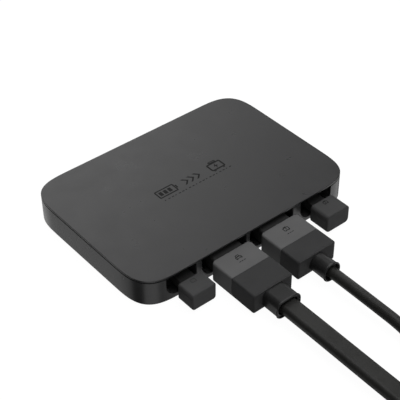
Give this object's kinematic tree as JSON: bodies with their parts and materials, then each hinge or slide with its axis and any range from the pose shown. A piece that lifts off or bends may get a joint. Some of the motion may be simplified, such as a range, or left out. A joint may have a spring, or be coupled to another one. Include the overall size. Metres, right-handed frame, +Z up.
{
  "type": "vehicle dc-dc charger",
  "caption": "Flat metal vehicle charger that feeds a power station from the alternator, with plug-in input and output leads and rubber port caps.",
  "frame": {"origin": "middle of the housing's underside, which stands on the surface", "axes": "+X along the port side, to the right as seen from the ports; -Y out of the ports along the plugs; +Z up through the cover"},
  "size_m": [0.2595, 0.7127, 0.0581],
  "materials": {
    "housing": "matt powder coat",
    "cover": "fine matt powder coat",
    "rubber": "matt",
    "steel": "zinc plated",
    "board": "solder resist",
    "chip": "moulded epoxy",
    "pad": "matt silicone",
    "ferrite": "sintered",
    "copper": "bare copper",
    "capacitor": "shrink sleeve",
    "shield": "tin plated",
    "socket": "glass-filled nylon",
    "contact": "gold plated",
    "shell_light": "fine spark texture",
    "shell_dark": "fine spark texture",
    "boot": "soft moulded",
    "cord": "matt sheath",
    "strap": "hook and loop",
    "lug_red": "sleeved lug",
    "lug": "tin plated copper",
    "cap": "soft moulded"
  },
  "bodies": {
    "housing": {"housing": "housing", "top_cover": "cover", "cover_seal": "rubber", "cover_screws": "steel", "main_board": "board", "board_screws": "steel", "thermal_pad": "pad", "power_transistors": "chip", "transformer_core": "ferrite", "transformer_winding": "copper", "choke_cores": "ferrite", "choke_windings": "copper", "input_capacitors": "capacitor", "output_capacitors": "capacitor", "fuse": "chip", "current_shunt": "steel", "control_chips": "chip", "radio_shield": "shield", "input_busbars": "copper", "output_busbars": "copper", "input_socket": "socket", "input_pins": "contact", "output_socket": "socket", "output_pins": "contact", "left_socket": "socket", "left_pins": "contact", "right_socket": "socket", "right_pins": "contact"},
    "input_lead": {"input_front_shell": "shell_light", "input_rear_shell": "shell_dark", "input_insert": "socket", "input_contacts": "contact", "input_boot": "boot", "input_cable": "cord", "input_coil": "cord", "input_coil_ties": "strap", "input_lead_end": "cord", "lug_boot": "boot", "positive_lug": "lug_red", "negative_lug": "lug"},
    "output_lead": {"output_front_shell": "shell_light", "output_rear_shell": "shell_dark", "output_insert": "socket", "output_contacts": "contact", "output_boot": "boot", "output_cable": "cord", "output_coil": "cord", "output_coil_tie": "strap", "output_lead_end": "cord", "station_boot": "boot", "station_rear_shell": "shell_dark", "station_front_shell": "shell_light", "station_insert": "socket", "station_contacts": "contact"},
    "left_cap": {"left_cap": "cap"},
    "right_cap": {"right_cap": "cap"}
  },
  "joints": [
    {"name": "input_plug_slide", "type": "slide", "parent": "housing", "child": "input_lead", "axis": [0, -1, 0], "range_m": [0, 0.025]},
    {"name": "output_plug_slide", "type": "slide", "parent": "housing", "child": "output_lead", "axis": [0, -1, 0], "range_m": [0, 0.025]},
    {"name": "left_cap_slide", "type": "slide", "parent": "housing", "child": "left_cap", "axis": [0, -1, 0], "range_m": [0, 0.025]},
    {"name": "right_cap_slide", "type": "slide", "parent": "housing", "child": "right_cap", "axis": [0, -1, 0], "range_m": [0, 0.025]}
  ]
}
